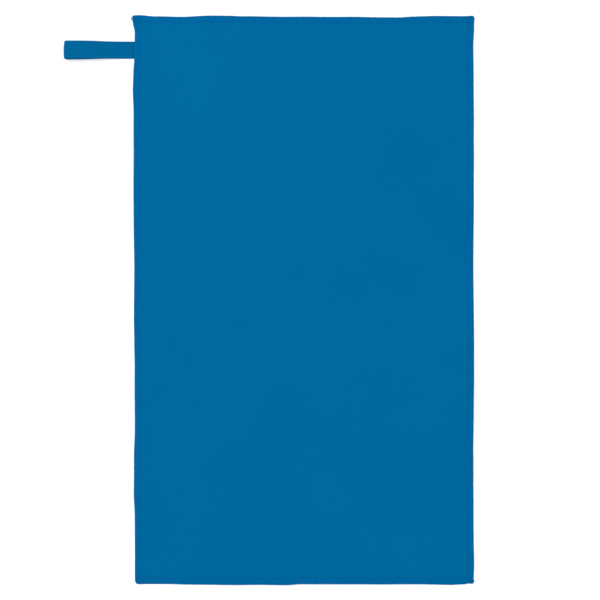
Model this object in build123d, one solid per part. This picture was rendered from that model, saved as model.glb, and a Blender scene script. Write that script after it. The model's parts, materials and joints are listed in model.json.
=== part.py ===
from build123d import *
import os

# Quick dry towel with a hanging loop, lying face up. Millimetres. The origin is the middle of the
# cloth's underside, +Z is up, +Y points at the end that carries the loop, and the loop sticks out
# towards -X.
#
# The cloth is one sheet. It is drawn as two halves that meet at the fold line, with a small gap
# between them, so that the free half can turn over onto the half with the loop.

# The towel
TOWEL_WIDTH = 300.0
TOWEL_LENGTH = 502.0
CLOTH_THICKNESS = 0.8
FOLD_Y = -1.5
FOLD_GAP = 0.6

# The overlocked edge: a lower looper thread under the cloth, an upper looper thread over it and
# round its cut edge, and a needle thread along their inner border
LOOPER_WIDTH = 5.4
NEEDLE_WIDTH = 0.4
THREAD_HEIGHT = 0.3
EDGE_WRAP = 0.4
STITCH_PITCH = 2.5
STITCHES_PER_POST = 10
TOP_CHAIN_LEFT = 1.5
TOP_CHAIN_RIGHT = 0.8
BOTTOM_CHAIN_RIGHT = 0.8

# The hanging loop: one strip, folded in half. Its two ends lie between the cloth and the lower looper
# thread of the left edge, and turn back under that thread to come out below the edge
LOOP_REACH = 62.0
LOOP_FROM_TOP = 29.8
LOOP_ROOT_WIDTH = 15.1
LOOP_END_WIDTH = 16.0
LOOP_CORNER_RADIUS = 1.5
LEG_THICKNESS = 0.8
LOOP_HEIGHT = 6.4
SWELL_START = 10.0
SWELL_END = 40.0
EYE_START = 12.0
EYE_START_HEIGHT = 0.15
HINGE_REACH = 2.0
HINGE_CLEARANCE = 0.3
PRESSED_LEGS = 0.8
TURN_GAP = 0.4
RAMP_LENGTH = 6.0
RAMP_DEPTH = 8.0

# The two rows of lockstitch along the loop's long edges
ROW_FROM_EDGE = 2.3
ROW_WIDTH = 0.4
ROW_HEIGHT = 0.2

# Worked out from the dimensions above
LEFT, RIGHT = -TOWEL_WIDTH / 2, TOWEL_WIDTH / 2
BOTTOM, TOP = -TOWEL_LENGTH / 2, TOWEL_LENGTH / 2
EDGE_DEPTH = LOOPER_WIDTH + NEEDLE_WIDTH
EDGE_TOP = CLOTH_THICKNESS + THREAD_HEIGHT
POST_PITCH = STITCH_PITCH * STITCHES_PER_POST
FIXED_START = FOLD_Y + FOLD_GAP / 2
FOLDING_END = FOLD_Y - FOLD_GAP / 2
LOOP_Y = TOP - LOOP_FROM_TOP
SEWN_LOW = LOOP_Y - LOOP_ROOT_WIDTH / 2
SEWN_HIGH = LOOP_Y + LOOP_ROOT_WIDTH / 2
LOOP_ROOT_X = LEFT - HINGE_REACH - HINGE_CLEARANCE
LOOP_END_X = LEFT - LOOP_REACH
LOOPER_LIFT = PRESSED_LEGS
CLOTH_LIFT = 2 * PRESSED_LEGS
TURN_X = LEFT + EDGE_DEPTH + TURN_GAP + PRESSED_LEGS
ROWS = {
    "row_1": LOOP_Y + LOOP_ROOT_WIDTH / 2 - ROW_FROM_EDGE,
    "row_2": LOOP_Y - LOOP_ROOT_WIDTH / 2 + ROW_FROM_EDGE,
}


def block(x0, x1, y0, y1, z0, z1):
    """Block between two opposite corners."""
    middle = Pos((x0 + x1) / 2, (y0 + y1) / 2, (z0 + z1) / 2)
    return middle * Box(x1 - x0, y1 - y0, z1 - z0)


def across(outline, low_y, high_y):
    """Solid with a side outline, between two values of y."""
    return extrude(Plane.XZ.offset(-high_y) * outline, high_y - low_y)


def climb(y):
    """Share of its full lift that the left edge has at y: 1 over the loop's ends, 0 clear of them."""
    away = max(SEWN_LOW - y, y - SEWN_HIGH, 0)
    return max(0, 1 - away / RAMP_LENGTH)


def lifted_layer(x0, x1, y0, y1, z0, z1, lift0, lift1):
    """Layer along the left edge whose faces climb by lift0 and lift1 over the loop's ends."""
    stations = [y0, SEWN_LOW - RAMP_LENGTH, SEWN_LOW, SEWN_HIGH, SEWN_HIGH + RAMP_LENGTH, y1]
    under = [(y, z0 + lift0 * climb(y)) for y in stations]
    over = [(y, z1 + lift1 * climb(y)) for y in reversed(stations)]
    outline = make_face(Polyline(*under, *over, close=True))
    return extrude(Plane.YZ.offset(x0) * outline, x1 - x0)


# Each stretch of edge: the side it lies on, and where it starts and ends along that side
SIDE_START, SIDE_END = BOTTOM + EDGE_DEPTH, TOP - EDGE_DEPTH
STRETCHES = {
    "top": ("top", LEFT - TOP_CHAIN_LEFT, RIGHT + TOP_CHAIN_RIGHT),
    "bottom": ("bottom", LEFT, RIGHT + BOTTOM_CHAIN_RIGHT),
    "left_fixed_half": ("left", FIXED_START, SIDE_END),
    "left_folding_half": ("left", SIDE_START, FOLDING_END),
    "right_fixed_half": ("right", FIXED_START, SIDE_END),
    "right_folding_half": ("right", SIDE_START, FOLDING_END),
}


def edge_layer(stretch, near, far, z0, z1, lift0=CLOTH_LIFT, lift1=CLOTH_LIFT):
    """Layer of one stretch of edge, from near to far inside the towel's outline.

    Beside the loop its lower and upper faces are lifted by lift0 and lift1.
    """
    side, start, end = STRETCHES[stretch]
    if side == "top":
        return block(start, end, TOP - far, TOP - near, z0, z1)
    if side == "bottom":
        return block(start, end, BOTTOM + near, BOTTOM + far, z0, z1)
    if side == "right":
        return block(RIGHT - far, RIGHT - near, start, end, z0, z1)
    if stretch == "left_fixed_half":
        return lifted_layer(LEFT + near, LEFT + far, start, end, z0, z1, lift0, lift1)
    return block(LEFT + near, LEFT + far, start, end, z0, z1)


def under_layer(stretch, near, far):
    """Layer of thread under the cloth. Beside the loop it lies between the strip's two passes."""
    return edge_layer(stretch, near, far, 0, THREAD_HEIGHT, LOOPER_LIFT, LOOPER_LIFT)


def needle_posts(stretch):
    """The needle thread's passes through the cloth, at every tenth stitch."""
    side, start, end = STRETCHES[stretch]
    count = int((end - start) // POST_PITCH)
    first = (start + end - count * POST_PITCH) / 2
    line = EDGE_DEPTH - NEEDLE_WIDTH / 2
    half = NEEDLE_WIDTH / 2
    low, high = THREAD_HEIGHT * 0.7, CLOTH_THICKNESS + THREAD_HEIGHT * 0.3
    posts = []
    for step in range(count + 1):
        along = first + step * POST_PITCH
        share = climb(along) if stretch == "left_fixed_half" else 0
        z0, z1 = low + LOOPER_LIFT * share, high + CLOTH_LIFT * share
        x, y = {
            "top": (along, TOP - line),
            "bottom": (along, BOTTOM + line),
            "left": (LEFT + line, along),
            "right": (RIGHT - line, along),
        }[side]
        posts.append(block(x - half, x + half, y - half, y + half, z0, z1))
    return posts


def needle_thread(stretch):
    """Needle thread: a line over the cloth, a line under it, and the passes between them."""
    thread = edge_layer(stretch, LOOPER_WIDTH, EDGE_DEPTH, CLOTH_THICKNESS, EDGE_TOP)
    thread += under_layer(stretch, LOOPER_WIDTH, EDGE_DEPTH)
    for post in needle_posts(stretch):
        thread += post
    return thread


def lower_looper_thread(stretch):
    """Flat lace of thread under the cloth's edge."""
    return under_layer(stretch, 0, LOOPER_WIDTH)


def upper_looper_thread(stretch, cloth):
    """Lace of thread over the cloth's edge, which also covers the cut edge."""
    lace = edge_layer(stretch, 0, LOOPER_WIDTH, THREAD_HEIGHT, EDGE_TOP) - cloth
    if stretch == "left_fixed_half":
        middle = (THREAD_HEIGHT + CLOTH_THICKNESS) / 2
        lace += edge_layer(stretch, 0, EDGE_WRAP, THREAD_HEIGHT, middle, LOOPER_LIFT, CLOTH_LIFT)
    return lace


def cloth_half(start, end, stretches, needles):
    """Half of the sheet, thinner underneath along its sewn edges."""
    cut = EDGE_WRAP
    low = start + cut if start < FOLD_Y else start
    high = end - cut if end > FOLD_Y else end
    cloth = block(LEFT + cut, RIGHT - cut, low, high, 0, CLOTH_THICKNESS)
    for stretch in stretches:
        cloth -= edge_layer(stretch, 0, EDGE_DEPTH, 0, THREAD_HEIGHT, 0, 0)
    if "left_fixed_half" in stretches:
        cloth = lift_over_loop(cloth)
    for needle in needles:
        cloth -= needle
    return cloth


def lift_over_loop(cloth):
    """Raise the cloth's left edge over the loop's sewn ends, with a ramp down to the flat cloth."""
    low, high = SEWN_LOW - 1.5 * RAMP_LENGTH, SEWN_HIGH + 1.5 * RAMP_LENGTH
    raised = lifted_layer(
        LEFT + EDGE_WRAP, TURN_X, low, high, THREAD_HEIGHT, CLOTH_THICKNESS, CLOTH_LIFT, CLOTH_LIFT
    )
    cloth -= block(LEFT, TURN_X, low, high, 0, CLOTH_THICKNESS)
    cloth += raised
    foot = TURN_X + RAMP_DEPTH
    side = Polyline(
        (TURN_X, CLOTH_THICKNESS / 2), (TURN_X, CLOTH_THICKNESS + CLOTH_LIFT),
        (foot, CLOTH_THICKNESS), (foot, CLOTH_THICKNESS / 2), close=True
    )
    return cloth + across(make_face(side), SEWN_LOW, SEWN_HIGH)


def teardrop(inset, start, neck):
    """Side outline of the loop, drawn inset from its outer face, from start out to the far end.

    The lower leg lies flat. The upper leg leaves it at height neck and swells to the full height.
    """
    low, high = inset, LOOP_HEIGHT - inset
    end_x = LOOP_END_X + inset
    radius = (high - low) / 2
    start_x, swell_x = LEFT - start, LEFT - max(start, SWELL_START)
    full_x = LEFT - SWELL_END
    lines = [
        Line((start_x, low), (end_x + radius, low)),
        ThreePointArc((end_x + radius, low), (end_x, low + radius), (end_x + radius, high)),
        Line((end_x + radius, high), (full_x, high)),
        Spline((full_x, high), (swell_x, neck), tangents=[(1, 0), (1, 0)]),
    ]
    if swell_x < start_x:
        lines.append(Line((swell_x, neck), (start_x, neck)))
    lines.append(Line((start_x, neck), (start_x, low)))
    return make_face(lines)


ROOT = HINGE_REACH + HINGE_CLEARANCE
OUTER = teardrop(0, ROOT, 2 * LEG_THICKNESS)
UNDER_NEEDLE = teardrop(ROW_HEIGHT, ROOT, 2 * LEG_THICKNESS - ROW_HEIGHT)
OVER_BOBBIN = teardrop(LEG_THICKNESS - ROW_HEIGHT, ROOT, LEG_THICKNESS + ROW_HEIGHT)
EYE = teardrop(LEG_THICKNESS, EYE_START, LEG_THICKNESS + EYE_START_HEIGHT)


def row_of_thread(name, outline):
    """Thread of one row of stitches, along a closed side outline."""
    y = ROWS[name]
    return across(outline, y - ROW_WIDTH / 2, y + ROW_WIDTH / 2)


def loop_strip(threads):
    """The strip outside the towel: two legs, and the fold at the far end with its open eye."""
    root, end = LOOP_ROOT_WIDTH / 2, LOOP_END_WIDTH / 2
    plan = Polyline(
        (LOOP_ROOT_X, LOOP_Y - root), (LOOP_ROOT_X, LOOP_Y + root),
        (LOOP_END_X, LOOP_Y + end), (LOOP_END_X, LOOP_Y - end), close=True
    )
    footprint = extrude(make_face(plan), LOOP_HEIGHT)
    far_corners = footprint.edges().filter_by(Axis.Z).group_by(Axis.X)[0]
    footprint = fillet(far_corners, LOOP_CORNER_RADIUS)
    strip = across(OUTER - EYE, LOOP_Y - end, LOOP_Y + end) & footprint
    for thread in threads:
        strip -= thread
    return strip


def loop_sewn_ends(needle):
    """The strip's two ends, pressed flat: in under the edge, round a turn, and back into its stitches."""
    over = THREAD_HEIGHT + LOOPER_LIFT
    side = Polyline(
        (LEFT, 0), (TURN_X, 0), (TURN_X, over + PRESSED_LEGS), (LEFT + EDGE_WRAP, over + PRESSED_LEGS),
        (LEFT + EDGE_WRAP, over), (TURN_X - PRESSED_LEGS, over), (TURN_X - PRESSED_LEGS, PRESSED_LEGS),
        (LEFT, PRESSED_LEGS), close=True
    )
    return across(make_face(side), SEWN_LOW, SEWN_HIGH) - needle


def named(stretch, thread):
    """Node name of a thread on a stretch, such as left_needle_thread_fixed_half."""
    side = STRETCHES[stretch][0]
    return f"{side}_{thread}{stretch[len(side):]}"


def build():
    """Every node by name."""
    nodes = {}
    needles = {stretch: needle_thread(stretch) for stretch in STRETCHES}
    halves = {
        "cloth_fixed_half": (FIXED_START, TOP, ["top", "left_fixed_half", "right_fixed_half"]),
        "cloth_folding_half": (BOTTOM, FOLDING_END, ["bottom", "left_folding_half", "right_folding_half"]),
    }
    for name, (start, end, stretches) in halves.items():
        own_needles = [needles[stretch] for stretch in stretches]
        cloth = cloth_half(start, end, stretches, own_needles)
        nodes[name] = cloth
        for stretch in stretches:
            nodes[named(stretch, "needle_thread")] = needles[stretch]
            nodes[named(stretch, "upper_looper_thread")] = upper_looper_thread(stretch, cloth)
            nodes[named(stretch, "lower_looper_thread")] = lower_looper_thread(stretch)

    loop_threads = {}
    for row in ROWS:
        loop_threads[f"loop_needle_thread_{row}"] = row_of_thread(row, OUTER - UNDER_NEEDLE)
        loop_threads[f"loop_bobbin_thread_{row}"] = row_of_thread(row, OVER_BOBBIN - EYE)
    nodes["loop_strip"] = loop_strip(loop_threads.values())
    nodes["loop_sewn_ends"] = loop_sewn_ends(needles["left_fixed_half"])
    nodes.update(loop_threads)
    return nodes


os.makedirs("parts", exist_ok=True)
for node, solid in build().items():
    export_step(solid, f"parts/{node}.step")
    print(node, round(solid.volume, 2))
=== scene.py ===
import json
import math

import bpy
import numpy as np
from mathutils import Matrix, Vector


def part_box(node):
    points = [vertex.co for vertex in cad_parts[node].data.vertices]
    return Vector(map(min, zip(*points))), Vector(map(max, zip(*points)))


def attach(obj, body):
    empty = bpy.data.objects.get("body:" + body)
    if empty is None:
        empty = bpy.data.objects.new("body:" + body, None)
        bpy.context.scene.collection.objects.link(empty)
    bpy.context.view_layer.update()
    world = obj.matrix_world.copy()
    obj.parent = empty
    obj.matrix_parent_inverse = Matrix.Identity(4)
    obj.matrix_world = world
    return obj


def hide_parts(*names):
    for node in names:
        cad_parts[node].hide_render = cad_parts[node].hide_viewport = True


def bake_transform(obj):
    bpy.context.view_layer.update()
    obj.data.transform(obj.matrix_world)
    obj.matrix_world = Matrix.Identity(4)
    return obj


# Quick dry towel: a microfibre sheet with a three-thread overlocked edge on each side and a hanging
# loop. Lengths are in metres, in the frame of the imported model.

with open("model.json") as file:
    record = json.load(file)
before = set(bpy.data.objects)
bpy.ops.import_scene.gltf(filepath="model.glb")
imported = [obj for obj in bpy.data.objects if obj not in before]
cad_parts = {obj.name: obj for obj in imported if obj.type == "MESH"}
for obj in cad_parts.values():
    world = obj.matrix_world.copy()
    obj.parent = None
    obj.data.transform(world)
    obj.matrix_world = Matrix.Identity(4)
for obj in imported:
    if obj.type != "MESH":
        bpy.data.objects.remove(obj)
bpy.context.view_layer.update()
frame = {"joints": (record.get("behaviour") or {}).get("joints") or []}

MM = 0.001


# ---------------------------------------------------------------- sizes, from the frame

def corners(node):
    """Lowest and highest corner of a CAD node, as arrays."""
    low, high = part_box(node)
    return np.array(low), np.array(high)


side_low, side_high = corners("left_lower_looper_thread_folding_half")
cloth_low, cloth_high = corners("cloth_folding_half")
strip_low, strip_high = corners("loop_strip")
sewn_low, sewn_high = corners("loop_sewn_ends")
joints = {joint["name"]: joint for joint in frame["joints"]}

LEFT = side_low[0]
RIGHT = corners("right_lower_looper_thread_folding_half")[1][0]
BOTTOM = corners("bottom_lower_looper_thread")[0][1]
TOP = corners("top_lower_looper_thread")[1][1]
THREAD_HEIGHT = side_high[2]
CLOTH_THICKNESS = cloth_high[2]
CUT_EDGE = cloth_low[0] - LEFT
EDGE_DEPTH = corners("left_needle_thread_folding_half")[1][0] - LEFT
NEEDLE_LINE = (EDGE_DEPTH + side_high[0] - LEFT) / 2
PRESSED_LEGS = (sewn_high[2] - THREAD_HEIGHT) / 2
TURN_X = sewn_high[0]
LOOP_Y = (sewn_low[1] + sewn_high[1]) / 2
LOOP_ROOT_WIDTH = sewn_high[1] - sewn_low[1]
LOOP_END_WIDTH = strip_high[1] - strip_low[1]
LOOP_END_X = strip_low[0]
LOOP_HEIGHT = strip_high[2]
FOLD_Y = joints["fold_in_half"]["pos_m"][1]
CHAIN_START = {"top": corners("top_upper_looper_thread")[0][0], "bottom": LEFT}
CHAIN_END = {side: corners(f"{side}_upper_looper_thread")[1][0] for side in ("top", "bottom")}


# ---------------------------------------------------------------- the lie of the cloth

# How far each edge strays outwards from its straight line: (place along the edge, stray), in mm
LEFT_STRAY = [
    (-251, -0.8), (-240, -0.6), (-190, -0.55), (-170, 0.2), (-140, 0.1), (-114, -0.6), (-60, -0.4),
    (-36, -0.1), (-15, 0.3), (26, -0.1), (81, 0.5), (165, 0.5), (186, 1.2), (200, 0.7), (216, -0.4),
    (235, -0.6), (246, 1.3), (251, 1.7)
]
RIGHT_STRAY = [
    (-251, -0.2), (-235, 0.4), (-210, 0), (-190, -0.25), (-133, -0.35), (-44, 0.4), (40, -0.3),
    (78, 0.15), (135, 0.1), (168, 0.1), (224, -0.35), (240, 0.35), (246, 0.45), (251, -0.1)
]
TOP_STRAY = [
    (-150, 0.9), (-143, 1.1), (-130, 0), (-109, -0.35), (-83, 0.5), (-66, 0.5), (-54, 0),
    (-30, -0.35), (37, -0.35), (70, -0.8), (84, -0.95), (97, -0.3), (103, 0), (116, 0.3),
    (144, 0.2), (150, 0.7)
]
BOTTOM_STRAY = [
    (-150, -0.3), (-122, -0.3), (-70, 0.4), (-16, 0.5), (-3, -0.2), (25, -0.4), (50, -0.2),
    (103, -0.2), (130, 0.45), (141, 0), (146, -0.9), (150, -0.5)
]
STRAY_HOLDS = 8 * MM
STRAY_FADES = 60 * MM

# Radius that each corner is rounded to
CORNER_RADII = {(-1, -1): 3.2 * MM, (1, -1): 1.6 * MM, (1, 1): 1.6 * MM, (-1, 1): 1.8 * MM}

# Height of the cloth's waves, which grows away from the fold line
RELIEF_AT_FOLD = 0.4 * MM
RELIEF = 1.75 * MM
RELIEF_GROWS = 110 * MM

# Waves over the whole cloth: (share of the relief, wavelength across, its phase, wavelength along),
# then the small irregular ones, and those along the edges
WAVES = [
    (0.5, 210 * MM, 0.6, 340 * MM),
    (0.3, 130 * MM, 2.1, 190 * MM),
    (0.2, 85 * MM, 4.0, 110 * MM),
]
CRUMPLE = 0.1125
CRUMPLE_LENGTHS = np.linspace(34, 80, 14) * MM
EDGE_WAVE = 0.45
EDGE_WAVE_REACH = 16 * MM
LEFT_WAVELENGTH = 47 * MM
RIGHT_WAVELENGTH = 39 * MM
END_WAVELENGTH = 43 * MM
END_WAVE_PHASE = 1.3

# Where the waves die down, and how far the corners curl up
CORNER_CALM = 0.85
CORNER_CALM_REACH = 30 * MM
LOOP_CALM_REACH = 26 * MM
CORNER_CURLS = {(-1, 1): 0.35 * MM, (1, 1): 0.15 * MM, (-1, -1): 0, (1, -1): 0.15 * MM}
CORNER_CURL_REACH = 16 * MM

# How far the cloth and the threads take to settle beside what lifts them
DRAPE = 12 * MM
CROSSING_FADES = 3 * MM
HELD_OFF_FADES = 2 * MM


def smooth(t):
    """Smooth step from 0 to 1."""
    t = np.clip(t, 0, 1)
    return t * t * (3 - 2 * t)


def stray(knots, along):
    """Smooth line through listed (place, stray) knots in mm."""
    places, strays = (np.array(column, float) * MM for column in zip(*knots))
    step = np.clip(np.searchsorted(places, along) - 1, 0, len(places) - 2)
    share = smooth((along - places[step]) / (places[step + 1] - places[step]))
    return strays[step] + (strays[step + 1] - strays[step]) * share


def fade(distance):
    """Share of an edge's stray that is felt at a distance inside it."""
    return 1 - smooth((distance - STRAY_HOLDS) / STRAY_FADES)


def rounded(x, y):
    """Points of the sharp-cornered rectangle moved to lie in the one with rounded corners."""
    x, y = x.copy(), y.copy()
    for (side, end), radius in CORNER_RADII.items():
        corner_x = RIGHT if side > 0 else LEFT
        corner_y = TOP if end > 0 else BOTTOM
        u = (radius - side * (corner_x - x)) / radius
        v = (radius - end * (corner_y - y)) / radius
        inside = (u > 0) & (v > 0)
        u, v = u[inside], v[inside]
        shift_u = u * (np.sqrt(1 - np.clip(v, 0, 1) ** 2 / 2) - 1)
        shift_v = v * (np.sqrt(1 - np.clip(u, 0, 1) ** 2 / 2) - 1)
        x[inside] += side * radius * shift_u
        y[inside] += end * radius * shift_v
    return x, y


def in_plan(x, y):
    """Where a point of the straight, square towel lies in plan on the real one."""
    shift_x = stray(RIGHT_STRAY, y) * fade(RIGHT - x) - stray(LEFT_STRAY, y) * fade(x - LEFT)
    shift_y = stray(TOP_STRAY, x) * fade(TOP - y) - stray(BOTTOM_STRAY, x) * fade(y - BOTTOM)
    x, y = rounded(x, y)
    return x + shift_x, y + shift_y


def near(distance, reach):
    """1 at no distance, falling off over reach."""
    return np.exp(-(distance / reach) ** 2)


def sine(distance, wavelength, phase=0.0):
    """Sine wave along a distance."""
    return np.sin(2 * math.pi * distance / wavelength + phase)


def crumple(x, v):
    """Small irregular waves that run in all directions, the longer ones higher."""
    random = np.random.default_rng(7)
    height = 0
    for length in CRUMPLE_LENGTHS:
        turn, phase = random.uniform(0, 2 * math.pi, 2)
        along = math.cos(turn) * x + math.sin(turn) * v
        height = height + length / CRUMPLE_LENGTHS[-1] * sine(along, length, phase)
    return height


def edge_waves(x, y, v):
    """Waves along the four edges, fading inwards."""
    left = near(x - LEFT, EDGE_WAVE_REACH) * sine(v, LEFT_WAVELENGTH)
    right = near(RIGHT - x, EDGE_WAVE_REACH) * sine(v, RIGHT_WAVELENGTH)
    at_ends = near(TOP - y, EDGE_WAVE_REACH) - near(y - BOTTOM, EDGE_WAVE_REACH)
    return left + right + at_ends * sine(x, END_WAVELENGTH, END_WAVE_PHASE)


def ripple(x, y):
    """Gentle waves from -1 to 1, opposite on the two halves so that they nest when folded."""
    v = y - FOLD_Y
    height = CRUMPLE * (crumple(x, v) - crumple(x, -v)) + EDGE_WAVE * edge_waves(x, y, v)
    for share, across, phase, along in WAVES:
        height = height + share * sine(x, across, phase) * sine(v, along)
    return np.tanh(height)


def ground(x, y):
    """Height of the cloth's lowest layer above the floor. It lies flat at the loop, and where the other
    half comes down on the loop's root."""
    relief = RELIEF_AT_FOLD + (RELIEF - RELIEF_AT_FOLD) * smooth(abs(y - FOLD_Y) / RELIEF_GROWS)
    height = relief * (1 + ripple(x, y)) / 2
    for (side, end), curl in CORNER_CURLS.items():
        corner_x = RIGHT if side > 0 else LEFT
        corner_y = TOP if end > 0 else BOTTOM
        away = np.hypot(x - corner_x, y - corner_y)
        calm = 1 - CORNER_CALM * near(away, CORNER_CALM_REACH)
        height = height * calm + curl * near(away, CORNER_CURL_REACH)
    for loop_y in (LOOP_Y, 2 * FOLD_Y - LOOP_Y):
        height = height * (1 - near(np.hypot(x - LEFT, y - loop_y), LOOP_CALM_REACH))
    return height


def over_loop(x, y):
    """1 where the edge lies over the loop's ends, falling to 0 as the cloth drapes off them."""
    across = 1 - smooth((abs(y - LOOP_Y) - LOOP_ROOT_WIDTH / 2) / DRAPE)
    inwards = 1 - smooth((x - TURN_X) / DRAPE)
    return across * inwards


def crossing(x, y):
    """1 at the corners, where two sides' stitches lie over each other."""
    from_side = np.minimum(x - LEFT, RIGHT - x)
    from_end = np.minimum(y - BOTTOM, TOP - y)
    at_side = 1 - smooth((from_side - EDGE_DEPTH) / CROSSING_FADES)
    at_end = 1 - smooth((from_end - EDGE_DEPTH) / CROSSING_FADES)
    return at_side * at_end


def cloth_base(x, y):
    """Height that the cloth's own layers are measured from."""
    return ground(x, y) + 2 * PRESSED_LEGS * over_loop(x, y) + THREAD_HEIGHT * crossing(x, y)


def under_base(x, y):
    """Height that the threads under the cloth are measured from. The loop's cut ends hold them off the
    cloth."""
    held_off = 1 - smooth((abs(y - LOOP_Y) - LOOP_ROOT_WIDTH / 2) / HELD_OFF_FADES)
    return ground(x, y) + PRESSED_LEGS * over_loop(x, y) * (2 - held_off)


# ---------------------------------------------------------------- mesh helpers

TUBE_SIDES = 8

# A direction that no thread starts along
STEEP = (0.3, 0.2, 1.0)


def new_object(name, points, faces, uvs=None):
    """Mesh object from points and faces, smooth shaded."""
    mesh = bpy.data.meshes.new(name)
    mesh.from_pydata(np.asarray(points).tolist(), [], faces)
    mesh.shade_smooth()
    if uvs is not None:
        layer = mesh.uv_layers.new(name="thread")
        layer.data.foreach_set("uv", np.asarray(uvs, np.float32).ravel())
    mesh.validate()
    piece = bpy.data.objects.new(name, mesh)
    bpy.context.scene.collection.objects.link(piece)
    return piece


def between(points, per_span=2):
    """Catmull-Rom points through points, per_span to each span."""
    padded = np.vstack([2 * points[0] - points[1], points, 2 * points[-1] - points[-2]])
    a, b, c, d = padded[:-3], padded[1:-2], padded[2:-1], padded[3:]
    rows = []
    for step in range(per_span):
        t = step / per_span
        square, cube = 2 * a - 5 * b + 4 * c - d, 3 * b - a - 3 * c + d
        rows.append(0.5 * (2 * b + (c - a) * t + square * t ** 2 + cube * t ** 3))
    made = np.stack(rows, 1).reshape(-1, 3)
    return np.vstack([made, points[-1]])


def unit(vectors):
    """Vectors made one long."""
    return vectors / np.linalg.norm(vectors, axis=-1, keepdims=True)


def carried(tangents):
    """Normals carried along a path without twist."""
    normal = np.cross(tangents[0], STEEP)
    normals = []
    for tangent in tangents:
        normal = unit(normal - tangent * (normal @ tangent))
        normals.append(normal)
    return np.array(normals)


def tube(name, path, radius, up=None, spread=1.0):
    """Thread along a path, with closed ends. With up, it lies flat across that way, wider by spread."""
    tangents = unit(np.gradient(path, axis=0))
    if up is None:
        normals = carried(tangents)
    else:
        normals = unit(up - tangents * np.sum(up * tangents, axis=1)[:, None])
    binormals = np.cross(tangents, normals) * spread
    sides = TUBE_SIDES
    turns = np.arange(sides) * 2 * math.pi / sides
    out = np.cos(turns)[None, :, None] * normals[:, None]
    across = np.sin(turns)[None, :, None] * binormals[:, None]
    rings = path[:, None] + radius * (out + across)
    count = len(path)
    ring = np.arange(count - 1)[:, None] * sides
    place = np.arange(sides)[None]
    after = (place + 1) % sides
    quads = np.stack([ring + place, ring + after, ring + sides + after, ring + sides + place], -1)
    faces = quads.reshape(-1, 4).tolist()
    faces.append(list(range(sides))[::-1])
    faces.append([(count - 1) * sides + i for i in range(sides)])
    length = np.concatenate([[0], np.cumsum(np.linalg.norm(np.diff(path, axis=0), axis=1))]) / MM
    u0, u1 = length[:-1, None] + 0 * place, length[1:, None] + 0 * place
    v0, v1 = place / sides + 0 * u0, (place + 1) / sides + 0 * u0
    uvs = np.stack([u0, v0, u0, v1, u1, v1, u1, v0], -1).reshape(-1, 2)
    uvs = np.vstack([uvs, np.zeros((2 * sides, 2))])
    return new_object(name, rings.reshape(-1, 3), faces, uvs)


# ---------------------------------------------------------------- the cloth

# Grid lines beside a cut edge, by their distance from it, and those beside the fold line
EDGE_LINES = np.array([0.2, 0.9, 2.0, 3.2, 4.3, 4.9, 5.3, 5.6, 5.9, 6.3, 6.9, 7.8, 9.0, 10.6, 12.6]) * MM
FOLD_LINES = np.arange(-6, 6.1, 0.6) * MM
GRID_STEP = 2.2 * MM
LEAST_STEP = 0.15 * MM

# The needle thread pulls the cloth down along its line, which puffs up the cloth inside it, and the
# loopers roll its cut edge down
PULL = 0.12 * MM
PULL_REACH = 0.5 * MM
PUFF = 0.1 * MM
PUFF_FROM_EDGE = 8.5 * MM
PUFF_REACH = 2 * MM
ROLL = 0.18 * MM
ROLL_FADES = 1.8 * MM
MARGIN_FADES = 1.2 * MM


def stations(low, high, extra=()):
    """Grid lines between two cut edges, closer together along the stitching."""
    start, end = low + EDGE_LINES[-1], high - EDGE_LINES[-1]
    inner = np.arange(start, end + GRID_STEP / 2, GRID_STEP)[1:-1]
    lines = np.concatenate([low + EDGE_LINES, inner, high - EDGE_LINES, extra])
    lines = np.unique(np.round(lines, 6))
    keep = np.concatenate([[True], np.diff(lines) > LEAST_STEP])
    return lines[keep]


def make_cloth():
    """The sheet: its face, its underside and the cut edge between them."""
    xs, ys = stations(LEFT, RIGHT), stations(BOTTOM, TOP, FOLD_Y + FOLD_LINES)
    x, y = (grid.ravel() for grid in np.meshgrid(xs, ys))
    inside = np.minimum(np.minimum(x - LEFT, RIGHT - x), np.minimum(y - BOTTOM, TOP - y))
    plan_x, plan_y = in_plan(x, y)
    base = cloth_base(x, y)
    pull = PULL * near(inside - NEEDLE_LINE, PULL_REACH)
    puff = PUFF * near(inside - PUFF_FROM_EDGE, PUFF_REACH)
    roll = ROLL * (1 - smooth(inside / ROLL_FADES))
    margin = THREAD_HEIGHT * (1 - smooth((inside - EDGE_DEPTH) / MARGIN_FADES))
    face = np.column_stack([plan_x, plan_y, base + CLOTH_THICKNESS - pull + puff - roll])
    underside = np.column_stack([plan_x, plan_y, base + margin])
    across, along = len(xs), len(ys)
    index = np.arange(across * along).reshape(along, across)
    quads = np.stack([index[:-1, :-1], index[:-1, 1:], index[1:, 1:], index[1:, :-1]], -1).reshape(-1, 4)
    below = quads[:, ::-1] + across * along
    rim = np.concatenate([index[0, :-1], index[:-1, -1], index[-1, :0:-1], index[:0:-1, 0]])
    ahead = np.roll(rim, -1)
    wall = np.stack([rim + across * along, ahead + across * along, ahead, rim], -1)
    faces = np.concatenate([quads, below, wall]).tolist()
    return new_object("cloth", np.vstack([face, underside]), faces)


# ---------------------------------------------------------------- the overlocked edges

STITCH = 2.5 * MM
NEEDLE_RADIUS = 0.16 * MM
LOOPER_RADIUS = 0.15 * MM
LOOPER_SPREAD = 2.0

# How uneven the stitches are, as a share of their pitch and of their width
JITTER = 0.04

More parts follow.
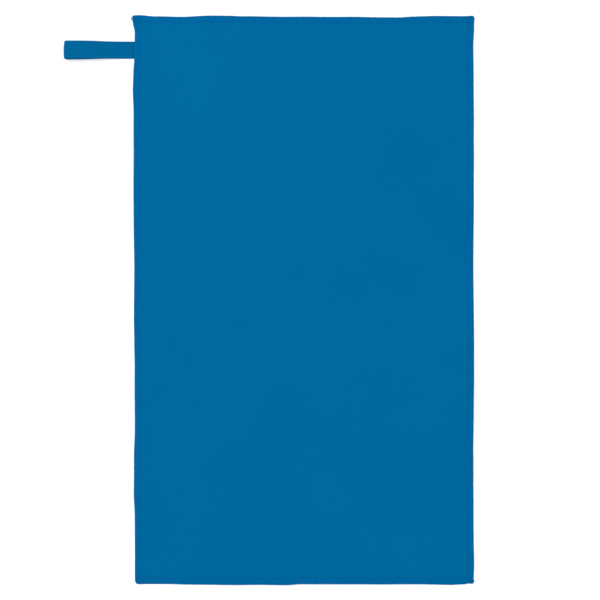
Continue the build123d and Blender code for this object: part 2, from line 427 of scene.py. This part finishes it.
# One stitch of each thread: (share of the stitch along the edge, distance in from the edge, height),
# the last two in mm. Heights up to 0.3 lie under the cloth and from 0.8 over it.
NEEDLE_STITCH = [
    (-0.45, 5.60, 0.66), (-0.33, 5.58, 0.88), (0.00, 5.55, 1.02), (0.33, 5.58, 0.88), (0.45, 5.60, 0.66),
    (0.45, 5.58, 0.34), (0.40, 5.35, 0.15), (0.50, 4.85, 0.12), (0.60, 5.35, 0.15), (0.55, 5.58, 0.34)
]
UPPER_STITCH = [
    (0.00, 5.85, 0.82), (0.11, 5.25, 0.93), (0.19, 3.90, 0.99), (0.23, 2.30, 0.99), (0.27, 0.80, 0.89),
    (0.34, 0.16, 0.72), (0.50, 0.04, 0.48), (0.66, 0.16, 0.72), (0.73, 0.80, 0.89), (0.77, 2.30, 0.99),
    (0.81, 3.90, 0.99), (0.89, 5.25, 0.93)
]
LOWER_STITCH = [
    (0.00, 0.04, 0.46), (0.11, 0.12, 0.32), (0.18, 0.55, 0.17), (0.23, 1.70, 0.15), (0.28, 3.00, 0.15),
    (0.35, 4.30, 0.15), (0.50, 5.15, 0.18), (0.65, 4.30, 0.15), (0.72, 3.00, 0.15), (0.77, 1.70, 0.15),
    (0.82, 0.55, 0.17), (0.89, 0.12, 0.32)
]

# The chain that runs off a corner: the middle that it draws in to, the share of its width and depth
# that is left, how far inside the edge it starts to draw in, and over what length
CHAIN_MIDDLE = 2.8 * MM
CHAIN_WIDTH = 0.22
CHAIN_HEIGHT = 0.6 * MM
CHAIN_DEPTH = 0.5
CHAIN_STARTS = 0.32 * MM
CHAIN_FORMS = 0.8 * MM

# A stitch point in the middle of the cloth's margin, and the length of a step away from it
MARGIN_MIDDLE = np.array([0, 0.5, 0.55]) * MM
STEP_OFF = 0.1 * MM


def stitch_path(pattern, start, end, seed):
    """One thread's stitches along an edge, as (along, in from the edge, height), slightly uneven."""
    random = np.random.default_rng(seed)
    count = int(round((end - start) / STITCH))
    pitch = (end - start) / count
    shape = np.array(pattern)
    path = []
    for stitch in range(count):
        shift, reach = random.uniform(-JITTER, JITTER, 2)
        for share, depth, height in shape:
            along = start + (stitch + share + shift) * pitch
            path.append((along, depth * (1 + reach) * MM, height * MM))
    path = np.array(path)
    return path[(path[:, 0] >= start) & (path[:, 0] <= end)]


def layer_height(x, y, height, crosses):
    """Height above the floor of a thread at a height in the edge's stack of layers."""
    over = np.clip((height - THREAD_HEIGHT) / (CLOTH_THICKNESS - THREAD_HEIGHT), 0, 1)
    corner = THREAD_HEIGHT * crossing(x, y)
    under = under_base(x, y) + (0 if crosses else corner)
    above = cloth_base(x, y) + (corner if crosses else 0)
    return height + under + (above - under) * over


def on_edge(side, path):
    """Stitch points of one side, laid on the towel. The top and bottom stitches cross the sides'."""
    along, depth, height = path.T
    crosses = side in ("top", "bottom")
    if crosses:
        past_cloth = np.maximum(LEFT - along, along - RIGHT)
        chained = smooth((past_cloth + CHAIN_STARTS) / CHAIN_FORMS)
        narrow = CHAIN_MIDDLE + (depth - CHAIN_MIDDLE) * CHAIN_WIDTH
        shallow = CHAIN_HEIGHT + (height - CHAIN_HEIGHT) * CHAIN_DEPTH
        depth = depth + (narrow - depth) * chained
        height = height + (shallow - height) * chained
    x, y = {
        "left": (LEFT + depth, along),
        "right": (RIGHT - depth, along),
        "top": (along, TOP - depth),
        "bottom": (along, BOTTOM + depth),
    }[side]
    plan_x, plan_y = in_plan(x, y)
    return np.column_stack([plan_x, plan_y, layer_height(x, y, height, crosses)])


def off_cloth(path):
    """Short steps from stitch points straight off the cloth's margin: up, down or out."""
    steps = path - MARGIN_MIDDLE
    steps[:, 0] = 0
    steps[:, 1] = np.minimum(steps[:, 1], 0)
    return STEP_OFF * unit(steps)


def make_edge(side, number):
    """The three threads of one side's overlock."""
    if side in ("top", "bottom"):
        start, end = CHAIN_START[side], CHAIN_END[side]
    else:
        start, end = BOTTOM + CUT_EDGE, TOP - CUT_EDGE
    kinds = {
        "needle_thread": (NEEDLE_STITCH, NEEDLE_RADIUS, 1),
        "upper_looper_thread": (UPPER_STITCH, LOOPER_RADIUS, LOOPER_SPREAD),
        "lower_looper_thread": (LOWER_STITCH, LOOPER_RADIUS, LOOPER_SPREAD),
    }
    made = {}
    for kind, (pattern, radius, spread) in kinds.items():
        path = stitch_path(pattern, start, end, 10 * number + len(made))
        points = between(on_edge(side, path))
        up = None if spread == 1 else between(on_edge(side, path + off_cloth(path))) - points
        made[kind] = tube(f"{side}_{kind}_stitches", points, radius, up, spread)
    return made


# ---------------------------------------------------------------- the hanging loop

# Thickness of one leg, free and pressed in the stitches, and the room for the stitches below it
LEG = 0.8 * MM
PRESSED_LAYER = PRESSED_LEGS / 2
LEG_GAP = 0.01 * MM
STITCH_RELIEF = 0.12 * MM

# Where the legs are free of the stitches, and where they start to part and are fully apart
FREE_X = LEFT - 6 * MM
SWELL_X = LEFT - 10 * MM
FULL_X = LEFT - 40 * MM

# Points along the strip: their steps where it is sewn in, at the root and beyond it
SEWN_STEP = 0.6 * MM
ROOT_STEP = 0.5 * MM
FREE_STEP = 1.25 * MM
ROOT_END_X = FREE_X - 3 * MM

# Room between the cloth's cut edge and the strip's, and round the strip's turns under the edge
CUT_ROOM = 0.1 * MM
TURN_ROOM = 0.2 * MM
BEFORE_TURN = 0.3 * MM
AFTER_TURN = 0.4 * MM
AFTER_LAST_TURN = 0.5 * MM

# The strip in plan: the bow of its folded end, its drift to one side, its waist, and the shares that
# its tip narrows by
END_BOW = 0.8 * MM
LOWER_BOW = 0.32 * MM
END_BOW_REACH = 18 * MM
END_DRIFT = -0.3 * MM
WAIST = 0.5 * MM
WAIST_FROM_EDGE = 27 * MM
WAIST_REACH = 14 * MM
TIP_REACH = 2.2 * MM
TIP_NARROWS = 0.02
TIP_NARROWS_LOWER = 0.05

# The strip's section, in mm apart from ROUNDING, which is a share of the thickness: places from its
# long edge, the rounding of that edge, the dip along a row of stitches, the puff between the row and
# the edge, and the step down from the turned edge, which is HEM wide
HEM = 5
SECTION_PLACES = [0, 0.12, 0.3, 0.6, 1.1, 1.7, 2.0, 2.3, 2.6, 3.1, 4.2, 4.9, 5.2, 6.2]
ROUNDING_REACH = 0.35
ROUNDING = 0.9
ROW_DIP = 0.13
ROW_DIP_REACH = 0.35
HEM_PUFF = 0.05
HEM_PUFF_PLACE = 1.1
HEM_PUFF_REACH = 0.6
HEM_STEP = 0.22
HEM_STEP_REACH = 0.3

# The rows of stitches: their distance from the long edge, their pitch, one stitch as (share of it
# along the row, height in mm), how deep the thread is sunk, and where the rows start and end
ROW_INSET = 2.3 * MM
LOOP_STITCH = 2.5 * MM
LOCKSTITCH = np.array([(0.0, -0.25), (0.16, 0.0), (0.5, 0.09), (0.84, 0.0)])
SUNK = 0.08 * MM
ROW_START_X = LEFT + 1.2 * MM
ROW_END_X = TURN_X - 1.5 * MM
LOOP_THREAD_RADIUS = 0.12 * MM


def leg_height(x, layer):
    """Height of the middle of the strip's lower (0) or upper (1) leg at x."""
    pressed = PRESSED_LAYER * (0.5 + layer)
    free = LEG * (0.5 + layer) + STITCH_RELIEF
    height = free + (pressed - free) * smooth((x - FREE_X) / (LEFT - FREE_X))
    if layer:
        full = LOOP_HEIGHT - LEG / 2
        height = height + (full - height) * smooth((SWELL_X - x) / (SWELL_X - FULL_X))
    return height


def half_turn(x, z, radius, start, end, count):
    """Points round a half turn in the side view, between two angles in degrees."""
    angles = np.radians(np.linspace(start, end, count))
    return np.column_stack([x + radius * np.cos(angles), z + radius * np.sin(angles)])


def level(start, end, step, height):
    """Points along a level run in the side view."""
    places = np.arange(start, end, math.copysign(step, end - start))
    return np.column_stack([places, np.full(len(places), height)])


def strip_line():
    """Side view of the strip's middle, from one sewn end round the loop to the other."""
    turn_x = TURN_X - PRESSED_LEGS - TURN_ROOM
    middle = (PRESSED_LEGS + THREAD_HEIGHT + PRESSED_LEGS) / 2
    cut_x = LEFT + CUT_EDGE + CUT_ROOM
    inner, outer = middle - 1.5 * PRESSED_LAYER, middle - 0.5 * PRESSED_LAYER
    end_radius = (LOOP_HEIGHT - LEG - STITCH_RELIEF) / 2
    end_height = (LOOP_HEIGHT + STITCH_RELIEF) / 2
    end_x = LOOP_END_X + LEG / 2 + end_radius
    root = np.arange(turn_x - AFTER_TURN, ROOT_END_X, -ROOT_STEP)
    outwards = np.concatenate([root, np.arange(ROOT_END_X, end_x, -FREE_STEP)])
    return np.vstack([
        level(cut_x, turn_x - BEFORE_TURN, SEWN_STEP, middle + inner),
        half_turn(turn_x, middle, inner, 90, -90, count=9),
        np.column_stack([outwards, leg_height(outwards, 1)]),
        half_turn(end_x, end_height, end_radius, 90, 270, count=17),
        np.column_stack([outwards[::-1], leg_height(outwards[::-1], 0)]),
        half_turn(turn_x, middle, outer, -90, 90, count=13),
        level(turn_x - AFTER_LAST_TURN, cut_x, SEWN_STEP, middle + outer),
    ])


def strip_normals(line):
    """Outward normal at each point of the strip's side view."""
    tangents = unit(np.gradient(line, axis=0))
    return np.column_stack([tangents[:, 1], -tangents[:, 0]])


def strip_thickness(x):
    """Thickness of one leg at x: pressed inside the stitches, full outside."""
    return LEG + (PRESSED_LAYER - LEG) * smooth((x - FREE_X) / (LEFT - FREE_X)) - LEG_GAP


def strip_width(x):
    """Width of the strip at x: it widens towards the fold, with a slight waist on the way."""
    share = np.clip((LEFT - x) / (LEFT - LOOP_END_X), 0, 1)
    waist = WAIST * near(LEFT - x - WAIST_FROM_EDGE, WAIST_REACH)
    return LOOP_ROOT_WIDTH + (LOOP_END_WIDTH - LOOP_ROOT_WIDTH) * share - waist


def strip_points(line, normals, v_share, lift):
    """Points of the strip. v_share runs from -1 to 1 across it, lift is along the outward normal."""
    x = line[:, 0]
    end = smooth((LOOP_END_X + END_BOW_REACH - x) / END_BOW_REACH)
    tip = smooth((LOOP_END_X + TIP_REACH - x) / TIP_REACH)
    half = strip_width(x) / 2 * (1 - tip * np.where(v_share < 0, TIP_NARROWS_LOWER, TIP_NARROWS))
    bow = end * v_share ** 2 * np.where(v_share > 0, END_BOW, LOWER_BOW)
    middle = LOOP_Y + END_DRIFT * smooth((LEFT - x) / (LEFT - LOOP_END_X))
    return np.column_stack([
        x + normals[:, 0] * lift + bow,
        middle + v_share * half,
        line[:, 1] + normals[:, 1] * lift,
    ])


def strip_section():
    """Round the strip's section: (share across, side, step in from the side's plane in mm)."""
    half = LOOP_ROOT_WIDTH / 2 / MM
    row, hem = half - ROW_INSET / MM, half - HEM
    v = half - np.array(SECTION_PLACES + [half])
    v = np.concatenate([-v, v[-2::-1]])
    from_middle = abs(v)
    round_off = np.clip(1 - (half - from_middle) / ROUNDING_REACH, 0, 1) ** 2
    puff = HEM_PUFF * near(from_middle - (half - HEM_PUFF_PLACE), HEM_PUFF_REACH)
    dip = ROW_DIP * near(from_middle - row, ROW_DIP_REACH) - puff
    recess = HEM_STEP * smooth((hem - from_middle) / HEM_STEP_REACH + 0.5)
    outer = [(a, 1, b, c) for a, b, c in zip(v / half, dip, round_off)]
    inner = [(a, -1, b, c) for a, b, c in zip(v / half, dip + recess, round_off)]
    return outer + inner[::-1]


def make_strip():
    """The strip of the hanging loop, with its turned edges and folded end."""
    line = strip_line()
    normals = strip_normals(line)
    thickness = strip_thickness(line[:, 0])
    pressed = thickness / (LEG - LEG_GAP)
    section = strip_section()
    columns = []
    for v_share, side, dip, round_off in section:
        lift = side * (thickness / 2 - dip * MM * pressed) * (1 - ROUNDING * round_off)
        columns.append(strip_points(line, normals, np.full(len(line), v_share), lift))
    rings = np.stack(columns, 1)
    count, around = rings.shape[:2]
    ring = np.arange(count - 1)[:, None] * around
    place = np.arange(around)[None]
    after = (place + 1) % around
    quads = np.stack([ring + place, ring + around + place, ring + around + after, ring + after], -1)
    faces = quads.reshape(-1, 4).tolist()
    half = around // 2
    for start, flip in ((0, False), ((count - 1) * around, True)):
        for i in range(half - 1):
            quad = [start + i, start + i + 1, start + around - 2 - i, start + around - 1 - i]
            faces.append(quad[::-1] if flip else quad)
    return new_object("hanging_loop_strip", rings.reshape(-1, 3), faces)


def row_path(v_offset, side):
    """One thread of a row of lockstitch, on the strip's outer (1) or inner (-1) face."""
    line = strip_line()
    normals = strip_normals(line)
    length = np.concatenate([[0], np.cumsum(np.linalg.norm(np.diff(line, axis=0), axis=1))])
    far = np.argmin(line[:, 0])
    inner_turn, outer_turn = np.argmax(line[:far, 0]), far + np.argmax(line[far:, 0])
    upper = [i for i in range(inner_turn, far) if line[i, 0] < ROW_START_X]
    lower = [i for i in range(far, outer_turn) if line[i, 0] < ROW_END_X]
    start, end = length[upper[0]], length[lower[-1]]
    count = int((end - start) / LOOP_STITCH)
    pitch = (end - start) / count
    shares, heights = LOCKSTITCH.T
    places = (start + (np.arange(count)[:, None] + shares[None]) * pitch).ravel()
    heights = np.tile(heights * MM, count)
    at = np.column_stack([np.interp(places, length, line[:, i]) for i in (0, 1)])
    normal = np.column_stack([np.interp(places, length, normals[:, i]) for i in (0, 1)])
    normal /= np.linalg.norm(normal, axis=1)[:, None]
    thickness = strip_thickness(at[:, 0])
    free = np.clip((thickness - PRESSED_LAYER) / (LEG - PRESSED_LAYER), 0, 1)
    lift = side * (thickness / 2 - SUNK + heights * free)
    v_share = v_offset / (strip_width(at[:, 0]) / 2)
    return strip_points(at, normal, v_share, lift)


def make_rows():
    """Needle and bobbin thread of the two rows of stitches along the loop."""
    made = {}
    inset = LOOP_ROOT_WIDTH / 2 - ROW_INSET
    for row, v_offset in ((1, inset), (2, -inset)):
        for kind, side in (("needle", 1), ("bobbin", -1)):
            path = between(row_path(v_offset, side))
            name = f"loop_{kind}_thread_row_{row}"
            made[f"{kind}_{row}"] = tube(name + "_stitches", path, LOOP_THREAD_RADIUS)
    return made


# ---------------------------------------------------------------- materials

TOWEL_BLUE = (0.0002, 0.1165, 0.282)
EDGE_BLUE = (0.0002, 0.135, 0.372)
LOOP_BLUE = (0.0006, 0.107, 0.264)
NAP_TINT = (0.008, 0.45, 0.8)
SPECULAR = 0.12
SHEEN_ROUGHNESS = 0.45

# How far the colour varies either way, the width of a rib, the cycles per metre of the patterns, and
# the scale of the nap each way, which is brushed along the towel
CLOTH_CONTRAST = 0.3
THREAD_CONTRAST = 0.2
RIB = 0.55 * MM
NAP = 3200
TUFTS = 900
MARKS = 12
FUZZ = 3000
BRUSHED = (1.0, 0.35, 1.0)


def material(name, colour, roughness, sheen):
    """Principled material for cloth or thread, with no white gloss, and its shader."""
    made = bpy.data.materials.new(name)
    made.use_nodes = True
    shader = made.node_tree.nodes["Principled BSDF"]
    shader.inputs["Base Color"].default_value = (*colour, 1)
    shader.inputs["Roughness"].default_value = roughness
    shader.inputs["Specular IOR Level"].default_value = SPECULAR
    shader.inputs["Specular Tint"].default_value = (*NAP_TINT, 1)
    shader.inputs["Sheen Weight"].default_value = sheen
    shader.inputs["Sheen Roughness"].default_value = SHEEN_ROUGHNESS
    shader.inputs["Sheen Tint"].default_value = (*NAP_TINT, 1)
    return made, shader


def node(tree, kind, settings=None, **inputs):
    """New shader node with its settings and input values."""
    made = tree.nodes.new(kind)
    for name, value in (settings or {}).items():
        setattr(made, name, value)
    for name, value in inputs.items():
        made.inputs[name.replace("_", " ")].default_value = value
    return made


def noise(tree, coordinates, scale, roughness):
    """Noise over the object, scale in cycles per metre."""
    made = node(tree, "ShaderNodeTexNoise", None, Scale=scale, Detail=3.0, Roughness=roughness)
    tree.links.new(coordinates, made.inputs["Vector"])
    return made.outputs["Fac"]


def ribs(tree, coordinates, width):
    """Parallel ribs along the towel. Blender counts a wave's scale in twenty radians per metre."""
    made = node(
        tree, "ShaderNodeTexWave", {"wave_type": "BANDS", "bands_direction": "X"},
        Scale=2 * math.pi / width / 20, Distortion=4.0, Detail=1.0, Detail_Scale=2.0
    )
    tree.links.new(coordinates, made.inputs["Vector"])
    return made.outputs["Fac"]


def maths(tree, operation, a, b):
    """One sum on sockets or numbers."""
    made = node(tree, "ShaderNodeMath", {"operation": operation})
    for socket, value in zip(made.inputs, (a, b)):
        if isinstance(value, (int, float)):
            socket.default_value = value
        else:
            tree.links.new(value, socket)
    return made.outputs[0]


def mixed(tree, *layers):
    """Patterns added up by weight, around a mean of a half."""
    total = 0.5 - 0.5 * sum(weight for _, weight in layers)
    for pattern, weight in layers:
        total = maths(tree, "ADD", maths(tree, "MULTIPLY", pattern, weight), total)
    return total


def scaled(colour, by):
    """A colour made lighter or darker."""
    return tuple(channel * by for channel in colour)


def shaded(tree, shader, share, colour, contrast):
    """Colour made darker to lighter by share, from 0 to 1, into the shader."""
    ramp = node(tree, "ShaderNodeValToRGB")
    ramp.color_ramp.elements[0].color = (*scaled(colour, 1 - contrast), 1)
    ramp.color_ramp.elements[1].color = (*scaled(colour, 1 + contrast), 1)
    tree.links.new(share, ramp.inputs["Fac"])
    tree.links.new(ramp.outputs["Color"], shader.inputs["Base Color"])


def bumped(tree, shader, height, strength, distance):
    """Bump from a height, into the shader."""
    bump = node(tree, "ShaderNodeBump", None, Strength=strength, Distance=distance)
    tree.links.new(height, bump.inputs["Height"])
    tree.links.new(bump.outputs["Normal"], shader.inputs["Normal"])


def microfibre(name, colour):
    """Brushed microfibre suede: a short nap brushed along the towel over fine knitted ribs."""
    made, shader = material(name, colour, roughness=0.95, sheen=0.25)
    tree = made.node_tree
    place = node(tree, "ShaderNodeTexCoord").outputs["Object"]
    wales = ribs(tree, place, RIB)
    brushed = node(tree, "ShaderNodeMapping", None, Scale=BRUSHED)
    tree.links.new(place, brushed.inputs["Vector"])
    nap = noise(tree, brushed.outputs["Vector"], NAP, roughness=0.7)
    tufts = noise(tree, place, TUFTS, roughness=0.6)
    marks = noise(tree, place, MARKS, roughness=0.5)
    fine = mixed(tree, (nap, 1.3), (tufts, 0.4), (wales, 0.12))
    tone = mixed(tree, (fine, 1.0), (marks, 0.2))
    shaded(tree, shader, tone, colour, CLOTH_CONTRAST)
    bumped(tree, shader, fine, strength=0.7, distance=0.25 * MM)
    return made


def spun_thread(name, colour, twist):
    """Plied polyester thread: strands that wind round it, twist turns a mm, and a little fuzz."""
    made, shader = material(name, colour, roughness=0.8, sheen=0.35)
    tree = made.node_tree
    place = node(tree, "ShaderNodeTexCoord").outputs["Object"]
    along = node(tree, "ShaderNodeUVMap", {"uv_map": "thread"}).outputs["UV"]
    parts = node(tree, "ShaderNodeSeparateXYZ")
    tree.links.new(along, parts.inputs[0])
    turns = maths(tree, "ADD", maths(tree, "MULTIPLY", parts.outputs[0], twist), parts.outputs[1])
    ply = maths(tree, "SINE", maths(tree, "MULTIPLY", turns, 4 * math.pi), 0)
    ply = maths(tree, "ADD", maths(tree, "MULTIPLY", ply, 0.35), 0.5)
    fuzz = noise(tree, place, FUZZ, roughness=0.7)
    tone = mixed(tree, (ply, 0.6), (fuzz, 0.4))
    shaded(tree, shader, tone, colour, THREAD_CONTRAST)
    bumped(tree, shader, tone, strength=0.6, distance=0.06 * MM)
    return made


# ---------------------------------------------------------------- the studio

# Width that the camera sees at the height of the cloth's face, and where it stands over it
VIEW_WIDTH = 0.5303
CAMERA_X = -3.45 * MM
CAMERA_Y = 0.38 * MM
LENS = 85.0
SENSOR = 36.0
FLOOR_REACH = 4
FLOOR_DROP = 0.05 * MM
FLOOR_WHITE = 0.95
FLOOR_GLOW = 0.15
WORLD_STRENGTH = 0.9

# Each light's place, size and power in watts
KEY = ((-0.75, 0.7, 1.6), 1.5, 15)
FILL = ((1.0, -0.7, 1.6), 1.6, 3)


def make_camera():
    """Straight above the towel, its top edge up."""
    data = bpy.data.cameras.new("camera")
    data.lens = LENS
    data.sensor_width = SENSOR
    camera = bpy.data.objects.new("camera", data)
    camera.location = (CAMERA_X, CAMERA_Y, VIEW_WIDTH * LENS / SENSOR + CLOTH_THICKNESS)
    bpy.context.scene.collection.objects.link(camera)
    bpy.context.scene.camera = camera


def area_light(name, place, size, power):
    """Square soft light aimed at the middle of the towel."""
    data = bpy.data.lights.new(name, "AREA")
    data.size = size
    data.energy = power
    light = bpy.data.objects.new(name, data)
    light.location = place
    light.visible_camera = False
    light.rotation_euler = (-light.location).to_track_quat("-Z", "Y").to_euler()
    bpy.context.scene.collection.objects.link(light)


def make_studio():
    """White floor that glows a little, pale surroundings and soft lights from above."""
    reach = FLOOR_REACH
    square = [(-reach, -reach, 0), (reach, -reach, 0), (reach, reach, 0), (-reach, reach, 0)]
    floor = new_object("floor", square, [(0, 1, 2, 3)])
    floor.location.z = -FLOOR_DROP
    paint = bpy.data.materials.new("floor_paint")
    paint.use_nodes = True
    shader = paint.node_tree.nodes["Principled BSDF"]
    shader.inputs["Base Color"].default_value = (FLOOR_WHITE, FLOOR_WHITE, FLOOR_WHITE, 1)
    shader.inputs["Roughness"].default_value = 0.8
    shader.inputs["Specular IOR Level"].default_value = 0.1
    shader.inputs["Emission Color"].default_value = (1, 1, 1, 1)
    shader.inputs["Emission Strength"].default_value = FLOOR_GLOW
    floor.data.materials.append(paint)
    world = bpy.data.worlds.new("studio")
    world.use_nodes = True
    background = world.node_tree.nodes["Background"]
    background.inputs["Color"].default_value = (1, 1, 1, 1)
    background.inputs["Strength"].default_value = WORLD_STRENGTH
    bpy.context.scene.world = world
    bpy.context.scene.view_settings.view_transform = "Standard"
    area_light("key", *KEY)
    area_light("fill", *FILL)


# ---------------------------------------------------------------- putting it together


def dress(piece, paint, slot, *nodes):
    """Give a piece its material and hide the CAD nodes that it stands for. The slot is not used."""
    piece.data.materials.append(paint)
    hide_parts(*nodes)


def across_fold(piece):
    """Bake a piece's placement into its mesh."""
    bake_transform(piece)


def across_hinge(piece):
    """Bake a piece's placement into its mesh."""
    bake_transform(piece)


def build():
    """Every piece of the towel, with its material and what it stands for; the top and bottom threads
    also go to their half's body.
    """
    cloth_paint = microfibre("towel_microfibre", TOWEL_BLUE)
    loop_paint = microfibre("loop_microfibre", LOOP_BLUE)
    looper_paint = spun_thread("looper_thread", EDGE_BLUE, twist=1.1)
    needle_paint = spun_thread("needle_thread", scaled(EDGE_BLUE, by=0.92), twist=1.6)

    for number, side in enumerate(("left", "right", "top", "bottom")):
        for kind, piece in make_edge(side, number).items():
            is_needle = kind == "needle_thread"
            paint = needle_paint if is_needle else looper_paint
            slot = "sewing_thread" if is_needle else "overlock_thread"
            if side in ("left", "right"):
                dress(piece, paint, slot, f"{side}_{kind}_fixed_half", f"{side}_{kind}_folding_half")
                across_fold(piece)
            else:
                dress(piece, paint, slot, f"{side}_{kind}")
                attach(piece, "fixed_half" if side == "top" else "folding_half")

    cloth = make_cloth()
    dress(cloth, cloth_paint, "towel_cloth", "cloth_fixed_half", "cloth_folding_half")
    across_fold(cloth)

    strip = make_strip()
    dress(strip, loop_paint, "loop_fabric", "loop_strip", "loop_sewn_ends")
    across_hinge(strip)
    rows = make_rows()
    for key, piece in rows.items():
        kind, row = key.split("_")
        dress(piece, needle_paint, "sewing_thread", f"loop_{kind}_thread_row_{row}")
        across_hinge(piece)


build()
make_camera()
make_studio()
